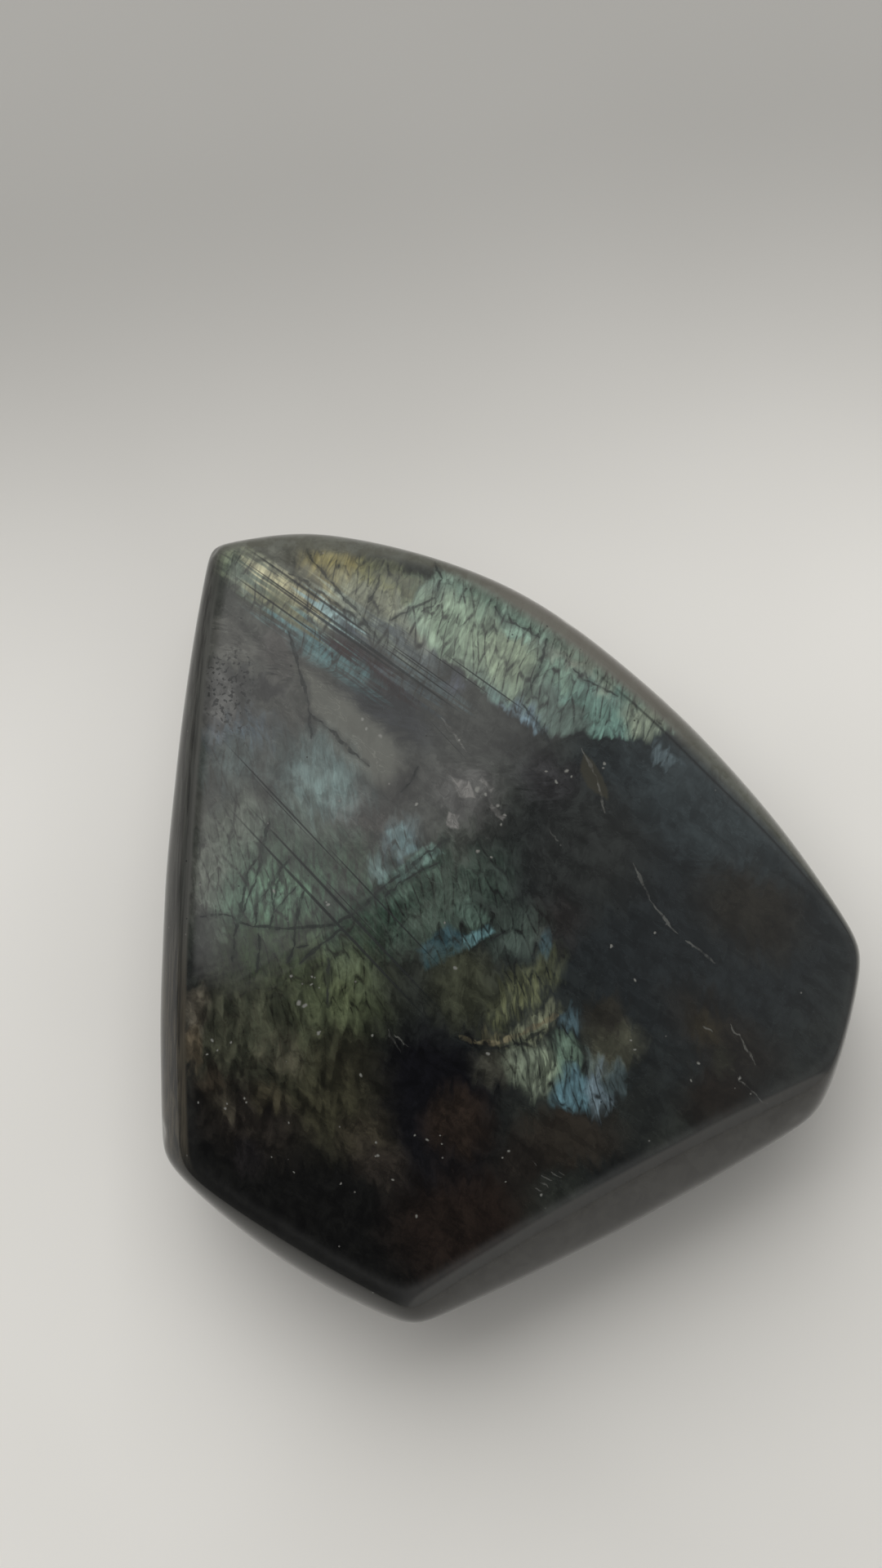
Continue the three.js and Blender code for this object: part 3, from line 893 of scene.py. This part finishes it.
def body_colour(f, g):
    """The feldspar itself: clouds from black-green to brown-grey with the zones laid over them,
    mottled and veiled, with the plain crystals let in, crossed by pale healed cracks, and
    streaked at the lower left."""
    body = f.mix(f.ramp(g.clouds, 0.35, 0.65), BODY_DARK, BODY_LIGHT)
    body = f.painted(g.ways, body, BODY_ZONES)

    # the mottling is weaker to the right and towards the top
    strength = f.ramp(f.reach(g.place, 1.0, -0.3), 0, 12, 0.36, 0.14)
    strength = f.times(strength, f.ramp(f.reach(g.place, -0.4, 1), 18, 34, 1.0, 0.5))
    mottled = f.ramp(g.mottle, 0.3, 0.7, -1, 1)
    body = f.shaded(body, f.one_plus(mottled, strength))

    veils = f.noise(f.laid(g.wavy, turn=-38, size=(5.5, 2.0, 3.0)), 1.0, 3.0, 0.6)
    body = f.shaded(body, f.ramp(veils, 0.38, 0.62, 0.80, 1.20))
    body = f.inlaid(f.blend(0.35, g.jagged, g.loose), g.front, body, CRYSTALS)
    body = f.shaded(body, f.ramp(g.mottle, 0.3, 0.7, 0.91, 1.09))
    body = f.shaded(body, f.ramp(f.off(veils, 0.47), 0.010, 0.002, 1.0, 1.35))
    streaks = f.shaded(body, f.ramp(f.plus(g.slanting, g.broad), 0.78, 1.22, 0.55, 1.5))
    return f.mix(f.lens(g.ways, "round", -30.5, -14.0, 13.0, 0.5), body, streaks)


def flash_colour(f, g):
    """The flash before it is broken up: the patches, the band along the upper right with patches
    of its own, the flashing crystals and the beige crescent, and down in the sides only faint
    green clouds. Returns it, and where the band is."""
    flash = f.painted(g.ways, BLACK, FLASHES)
    band = f.painted(g.ways, BAND_GREEN, BAND_ZONES)
    in_band = f.crystal(f.blend(0.6, g.jagged, g.loose), BAND, 0.5)
    flash = f.mix(in_band, flash, band)
    flash = f.inlaid(g.jagged, g.front, flash, FLASH_CRYSTALS)
    crescent = f.ramp(f.crooked(g.flat, [CRESCENT]), 0.21, 0.02)
    crescent = f.times(crescent, f.ramp(g.mottle, 0.35, 0.6, 0.4, 1.0))
    flash = f.mix(crescent, flash, CRESCENT_BEIGE)
    hidden = f.ramp(f.noise(g.place, 12.0, 1.0), 0.52, 0.74, 0, 0.4)
    hidden = f.mix(hidden, BLACK, SIDE_FLASH)
    return f.mix(g.front, hidden, flash), in_band


def splinter_light(f, g):
    """How strongly each splinter of the flash is lit: steps from one to the next, a feathery grain
    and mottling, and blades, which are boldest below the middle, a little less so at the left,
    and fainter elsewhere."""
    light = f.ramp(g.slanting, 0.46, 0.54, 0.95, 1.07)
    light = f.times(light, f.ramp(g.broad, 0.46, 0.54, 0.92, 1.10))
    feather = f.noise(f.laid(g.along, size=(0.17, 2.0, 1.2)), 1.0, 1.0)
    light = f.times(light, f.ramp(feather, 0.28, 0.72, 0.90, 1.12))
    light = f.times(light, f.ramp(g.mottle, 0.3, 0.7, 0.74, 1.30))
    blades = f.noise(f.laid(g.along, turn=-10, size=(0.60, 3.4, 2.0)), 1.0, 2.0, 0.45)
    blades = f.ramp(blades, 0.40, 0.58, -0.62, 0.28)
    bold = f.lens(g.ways, "round", 4.5, -12.5, 8.5, 0.4)
    lesser = f.lens(g.ways, "round", -27.0, 4.5, 8.5, 0.6)
    bold = f.most(bold, f.times(lesser, 0.9))
    bold = f.most(bold, 0.40)
    return f.times(light, f.one_plus(blades, bold))


def dark_splits(f, g):
    """Thin dark splits between the splinters of the flash: a net of long cells, and fainter lines
    where the slanting noise crosses its middle. Mottling breaks them up, and the smooth light
    blue patch has hardly any."""
    thin = f.ramp(f.off(g.slanting, 0.5), 0.04, 0.008, 0, 0.5)
    split = f.ramp(f.net(f.laid(g.along, size=(1.25, 4.8, 3.0))), 0.12, 0.02)
    split = f.most(split, thin)
    split = f.times(split, f.ramp(g.mottle, 0.36, 0.60, 0.95, 0.30))
    smooth = f.lens(g.ways, "round", -23.5, 20.5, 9.0, 0.6)
    split = f.times(split, f.one_plus(smooth, -0.75))
    return f.times(split, g.front)


def fine_lines(f, g, colour, in_band):
    """The colour with fine straight lines over it, across the fan outside the band, and across
    the middle of the left-hand side."""
    lines = f.shaded(colour, f.ramp(g.combed, 0.36, 0.62, 0.76, 1.16))
    fan = f.lens(g.ways, "fan", -22.3, 38.6, 4.8, 0.4)
    fan = f.times(fan, f.less(1.0, in_band))
    colour = f.mix(fan, colour, lines)
    lines = f.noise(f.laid(g.place, turn=-47, size=(12.0, 0.45, 3.0)), 1.0, 1.0)
    lines = f.shaded(colour, f.ramp(lines, 0.35, 0.65, 0.76, 1.14))
    return f.mix(f.lens(g.ways, "oval", -20.0, 4.5, 7.0, 0.5), colour, lines)


def pale_crumbs(f, g):
    """Where the pale crumbs are, thinned by the mottling."""
    crumbs = 0.0
    for corners in CRUMBS:
        crumbs = f.most(crumbs, f.crystal(g.flat, corners, 0.15))
    crumbs = f.times(crumbs, g.front)
    return f.times(crumbs, f.ramp(g.mottle, 0.38, 0.62, 0.25, 1.0))


def blade_and_pits(f, g, colour):
    """The colour with the brown blade, and with the black pits of the dull patch at the left."""
    blade = f.times(f.crystal(g.flat, BLADE, 0.2), 0.8)
    colour = f.mix(blade, colour, BLADE_BROWN)
    pits = f.ramp(f.noise(g.place, 0.55, 1.0), 0.57, 0.64)
    pits = f.times(pits, f.lens(g.ways, "upright", -36.2, 30.8, 3.0, 0.5))
    return f.mix(f.times(pits, 0.85), colour, PIT_BLACK)


def on_face(f, g, name, soft=CRISP):
    """One on a ground face and nought elsewhere: a place is on a face when it is no deeper inside
    the face's ball than the crease where the face meets the next one. It fades out across that
    crease, over CRISP millimetres of depth on the face's side and soft on the other."""
    around, up, distance, dome = GROUND_FACES[name]
    around, up = math.radians(around), math.radians(up)
    outward = [math.cos(up) * math.cos(around), math.cos(up) * math.sin(around), math.sin(up)]
    crease = dome - ROUNDING * math.log(2) - POLISHED_OFF
    far = f.far(g.place, *(np.array(outward) * (distance - dome) + g.origin))
    return f.ramp(far, crease - soft, crease + CRISP)


def left_streaks_and_reflection(f, g):
    """The rim along the left side: fine dark and grey streaks down its length, reddish in the lower
    half, and a paler line along the show face's edge. The dark and reddish tones are partly a painted
    reflection of dark, reddish surroundings, and the paler line is a painted highlight."""
    streak = f.noise(f.laid(g.place, turn=-3, size=(0.30, 9.0, 0.45)), 1.0, 2.0)
    streak = f.ramp(streak, 0.36, 0.64)
    lower = f.ramp(f.reach(g.place, 0, 1), 4, -12)
    # the dark and reddish tones are partly a painted reflection of dark, reddish surroundings
    streaks = f.mix(lower, STREAK_GREY, STREAK_REDDISH_REFLECTION)
    streaks = f.mix(streak, STREAK_DARK, streaks)
    # painted highlight: a paler line along the show face's edge
    edge = on_face(f, g, "show_face", 0.8)
    near = f.mix(lower, LEFT_EDGE_HIGHLIGHT, LEFT_EDGE_HIGHLIGHT_REDDISH)
    return f.mix(f.times(edge, 0.85), streaks, near)


def ground_rim_and_sheen(f, g, colour):
    """The colour with the ground rim round the show face, tinted with a painted sheen. The face's
    colours die away into it. The painted sheen is palest at the shoulder, a painted highlight, and
    dim lower down, painted shade, and it is streaked and sharper-edged along the left side. On the
    right painted shade runs as a dark line along the crease at the show face's edge."""
    west = f.ramp(f.reach(g.place, 1.0, 0.06), -33, -37)
    west = f.times(west, f.ramp(f.reach(g.place, 0, 1), -34, -26))
    crisp = f.less(1.0, on_face(f, g, "show_face"))
    rim = f.less(1.0, on_face(f, g, "show_face", 0.9))
    rim = f.most(f.times(crisp, west), rim)
    rim = f.times(rim, f.ramp(g.height, 22, 28))
    # painted sheen: the rim's grey, palest at the shoulder as a painted highlight, dim lower down as
    # painted shade
    tint = f.mix(f.ramp(g.mottle, 0.35, 0.65), RIM_SHEEN_DARK, RIM_SHEEN_PALE)
    tint = f.mix(f.ramp(f.far(g.place, 10, 37, 25), 25, 10), tint, RIM_SHOULDER_HIGHLIGHT)
    tint = f.mix(f.ramp(f.reach(g.place, 0.65, 0.97), 24, 12), tint, RIM_PAINTED_SHADE)
    tint = f.mix(west, tint, left_streaks_and_reflection(f, g))
    colour = f.mix(f.times(rim, 0.93), colour, tint)
    # painted shade: a dark line along the crease at the show face's edge, on the right
    crease = f.times(crisp, f.less(1.0, crisp))
    east = f.ramp(f.reach(g.place, 1, 0), 8, 18, 0, 3.0)
    return f.mix(f.times(crease, east), colour, CREASE_PAINTED_SHADE)


def wide_bevel(f, g, colour):
    """The colour with the dark wide bevel, with a painted sheen along the show face's edge."""
    bevel = on_face(f, g, "wide_bevel")
    tint = f.mix(f.ramp(g.mottle, 0.35, 0.65), BEVEL_DARK, BEVEL_LIGHT)
    # painted sheen: a paler haze along the show face's edge
    edge = on_face(f, g, "show_face", 1.6)
    tint = f.mix(f.times(edge, 0.8), tint, BEVEL_EDGE_SHEEN)
    return f.mix(bevel, colour, tint)


def dark_cracks(f, g):
    """Where the dark cracks are: crooked ones with a soft halo, and straight cleavage."""
    crooked = f.crooked(g.flat, DARK_CRACKS)
    dark = f.times(f.ramp(crooked, 0.055, 0.006), f.ramp(g.mottle, 0.32, 0.56, 0.50, 1.0))
    dark = f.most(dark, f.ramp(crooked, 0.40, 0.0, 0, 0.45))
    for lean, cracks in CLEAVAGE.items():
        ways = {lean: f.leaning(g.place, lean)}
        for x, y, long in cracks:
            wide = long / LEANS[lean][1] * THIN_ENDS
            dark = f.most(dark, f.lens(ways, lean, x, y, wide, 0.3))
    dark = f.times(dark, 0.85)
    return f.times(dark, g.front)


def light_marks(f, g):
    """Where the light lines and the bright specks are."""
    light = f.ramp(f.crooked(g.flat, LIGHT_LINES), 0.016, 0.002)
    light = f.times(light, f.ramp(g.mottle, 0.38, 0.58, 0.08, 0.42))
    for x, y, wide in SPECKS:
        light = f.most(light, f.ramp(f.far(g.flat, x, y), wide, wide * 0.3))
    return f.times(light, g.front)


def pinpricks(f, g, colour):
    """The colour with pinpricks all over, thin on the ground: one cell in five has a white one,
    and one in five a black one."""
    dust, pick = f.cells(f.laid(g.place, size=(2.2, 2.2, 2.2)))
    prick = f.ramp(dust, 0.075, 0.04)
    colour = f.mix(f.times(prick, f.ramp(pick, 0.78, 0.84, 0, 0.6)), colour, CRUMB_WHITE)
    return f.mix(f.times(prick, f.ramp(pick, 0.22, 0.16, 0, 0.8)), colour, PRICK_BLACK)


def clear_polish(f, g, colour, dark, crumbs):
    """Shows the colour under a clear polish: a little worn in clouds, dull in the dark cracks and
    the crumbs, and with shallow wheel marks."""
    skin = f.add("ShaderNodeBsdfPrincipled")
    f.feed(skin.inputs["Base Color"], colour)
    wear = f.ramp(g.clouds, 0.35, 0.7, 0.05, 0.10)
    dull = f.most(f.times(dark, 0.3), f.times(crumbs, 0.35))
    f.feed(skin.inputs["Roughness"], f.most(wear, dull))
    wheel = f.noise(f.laid(g.place, turn=25, size=(6.0, 1.6, 3.0)), 1.0, 1.0)
    bump = f.add("ShaderNodeBump")
    bump.inputs["Strength"].default_value = WHEEL_STRENGTH
    bump.inputs["Distance"].default_value = WHEEL_MARKS * MM
    f.feed(bump.inputs["Height"], wheel)
    f.feed(skin.inputs["Normal"], bump.outputs["Normal"])
    skin.inputs["IOR"].default_value = FELDSPAR_IOR
    f.show(skin)


def labradorite(origin):
    """Dark feldspar with colour flashes seen through a clear polish. The flash is added to the
    body's colour, and the other marks are laid over both in turn. The origin is where the point
    that all face distances are taken from has come to lie."""
    material, f = new_finish("polished_labradorite")
    g = grain_of_stone(f, origin)
    body = body_colour(f, g)
    flash, in_band = flash_colour(f, g)
    light = splinter_light(f, g)
    light = f.times(light, f.less(UNSPLIT, dark_splits(f, g)))
    colour = f.sum(body, f.shaded(flash, light))
    colour = fine_lines(f, g, colour, in_band)
    crumbs = pale_crumbs(f, g)
    colour = f.mix(crumbs, colour, CRUMB_WHITE)
    colour = blade_and_pits(f, g, colour)
    colour = ground_rim_and_sheen(f, g, colour)
    colour = wide_bevel(f, g, colour)
    dark = dark_cracks(f, g)
    colour = f.mix(dark, colour, CRACK_BLACK)
    colour = f.mix(light_marks(f, g), colour, SPECK_WHITE)
    colour = pinpricks(f, g, colour)
    clear_polish(f, g, colour, dark, crumbs)
    return material


# ---- floor, light and camera --------------------------------------------------------------

FLOOR_RADIUS = 4.0  # metres
FLOOR_SIDES = 96
FLOOR_SHADES = ((0.79, 0.77, 0.73), (0.82, 0.80, 0.76))
FLOOR_PAINTED_SHADE = (0.16, 0.155, 0.145)  # painted shade that the floor darkens towards behind the stone

CEILING_DIM = (0.06, 0.06, 0.065)
CEILING_RIGHT = (0.38, 0.38, 0.38)
WINDOW_WHITE = (1.05, 1.05, 1.03)
WALL_GREY = (0.52, 0.52, 0.51)
WALL_SHADED = (0.15, 0.15, 0.15)

SOFTBOX_PLACE = (-0.25, 0.70, 0.85)  # metres
SOFTBOX_WIDTH = 1.1  # metres
SOFTBOX_WATTS = 10.0
SOFTBOX_AIM = (0, 0, 0.02)  # metres, inside the stone

CAMERA_PLACE = (-9.07, 18.81, 456.0)  # millimetres
CAMERA_SENSOR = 36  # millimetres
CAMERA_LENS = 75.7  # millimetres


def make_floor():
    """A plain pale disc, level with the resting surface, with painted shade behind the stone."""
    around = np.linspace(0, 2 * np.pi, FLOOR_SIDES + 1)[:-1]
    rim = FLOOR_RADIUS * directions(around)
    mesh = bpy.data.meshes.new("floor")
    mesh.from_pydata(rim.tolist(), [], [list(range(len(rim)))])
    floor = placed("floor", mesh)
    material, f = new_finish("pale_floor")
    skin = f.add("ShaderNodeBsdfPrincipled")
    place = f.place()
    near = f.mix(f.ramp(f.noise(place, 60.0, 2.0), 0.3, 0.7), *FLOOR_SHADES)
    # painted shade: the floor darkens away behind the stone
    behind = f.ramp(f.reach(place, -0.15, 1.0), 25, 110, 0, 0.62)
    f.feed(skin.inputs["Base Color"], f.mix(behind, near, FLOOR_PAINTED_SHADE))
    skin.inputs["Roughness"].default_value = 0.8
    f.show(skin)
    mesh.materials.append(material)


def make_surroundings():
    """A dim studio: a grey wall all round, shaded on the left, and a dark ceiling that gets lighter
    to the right, with a bright window over its upper left."""
    world = bpy.data.worlds.new("studio")
    bpy.context.scene.world = world
    world.use_nodes = True
    f = Finish(world.node_tree)
    way = f.add("ShaderNodeTexCoord").outputs["Generated"]
    parts = f.add("ShaderNodeSeparateXYZ")
    f.feed(parts.inputs[0], way)

    # where a way up meets a level ceiling one unit overhead
    high = f.most(parts.outputs["Z"], 0.05)
    right = f.math("DIVIDE", parts.outputs["X"], high)
    ahead = f.math("DIVIDE", parts.outputs["Y"], high)
    slant = f.less(f.times(ahead, 0.72), f.times(right, 0.69))
    window = f.times(f.ramp(slant, 0.04, 0.13), f.ramp(ahead, -0.14, -0.06))
    lighter = f.ramp(f.plus(right, f.times(ahead, 0.5)), -0.1, 0.42)
    ceiling = f.mix(lighter, CEILING_DIM, CEILING_RIGHT)
    ceiling = f.mix(window, ceiling, WINDOW_WHITE)

    low = f.ramp(parts.outputs["Z"], 0.86, 0.62)
    shaded = f.ramp(f.reach(way, -0.94, -0.34), 0.15, 0.75)
    wall = f.mix(shaded, WALL_GREY, WALL_SHADED)
    studio = f.mix(low, ceiling, wall)
    back = f.add("ShaderNodeBackground")
    f.feed(back.inputs["Color"], studio)
    f.show(back, "World")


def make_softbox():
    """A square soft light that looks at the stone and has no reflection in it."""
    light = bpy.data.lights.new("key_softbox", "AREA")
    light.size = SOFTBOX_WIDTH
    light.energy = SOFTBOX_WATTS
    lamp = placed("key_softbox", light)
    lamp.location = SOFTBOX_PLACE
    lamp.visible_glossy = False
    x, y, z = np.array(SOFTBOX_AIM) - np.array(SOFTBOX_PLACE)
    lamp.rotation_euler = (math.atan2(math.hypot(x, y), -z), 0, math.atan2(y, x) - math.pi / 2)


def make_camera():
    """A camera straight over the show face, a little above and left of its middle, with +Y up."""
    camera = bpy.data.cameras.new("camera")
    camera.sensor_width = CAMERA_SENSOR
    camera.sensor_fit = "AUTO"
    camera.lens = CAMERA_LENS
    holder = placed("camera", camera)
    holder.location = np.array(CAMERA_PLACE) * MM
    bpy.context.scene.camera = holder


make_camera()
make_surroundings()
make_floor()
make_softbox()
bpy.context.scene.view_settings.view_transform = "Standard"

stone = make_stone()
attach(stone, "root")
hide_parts("labradorite_block")
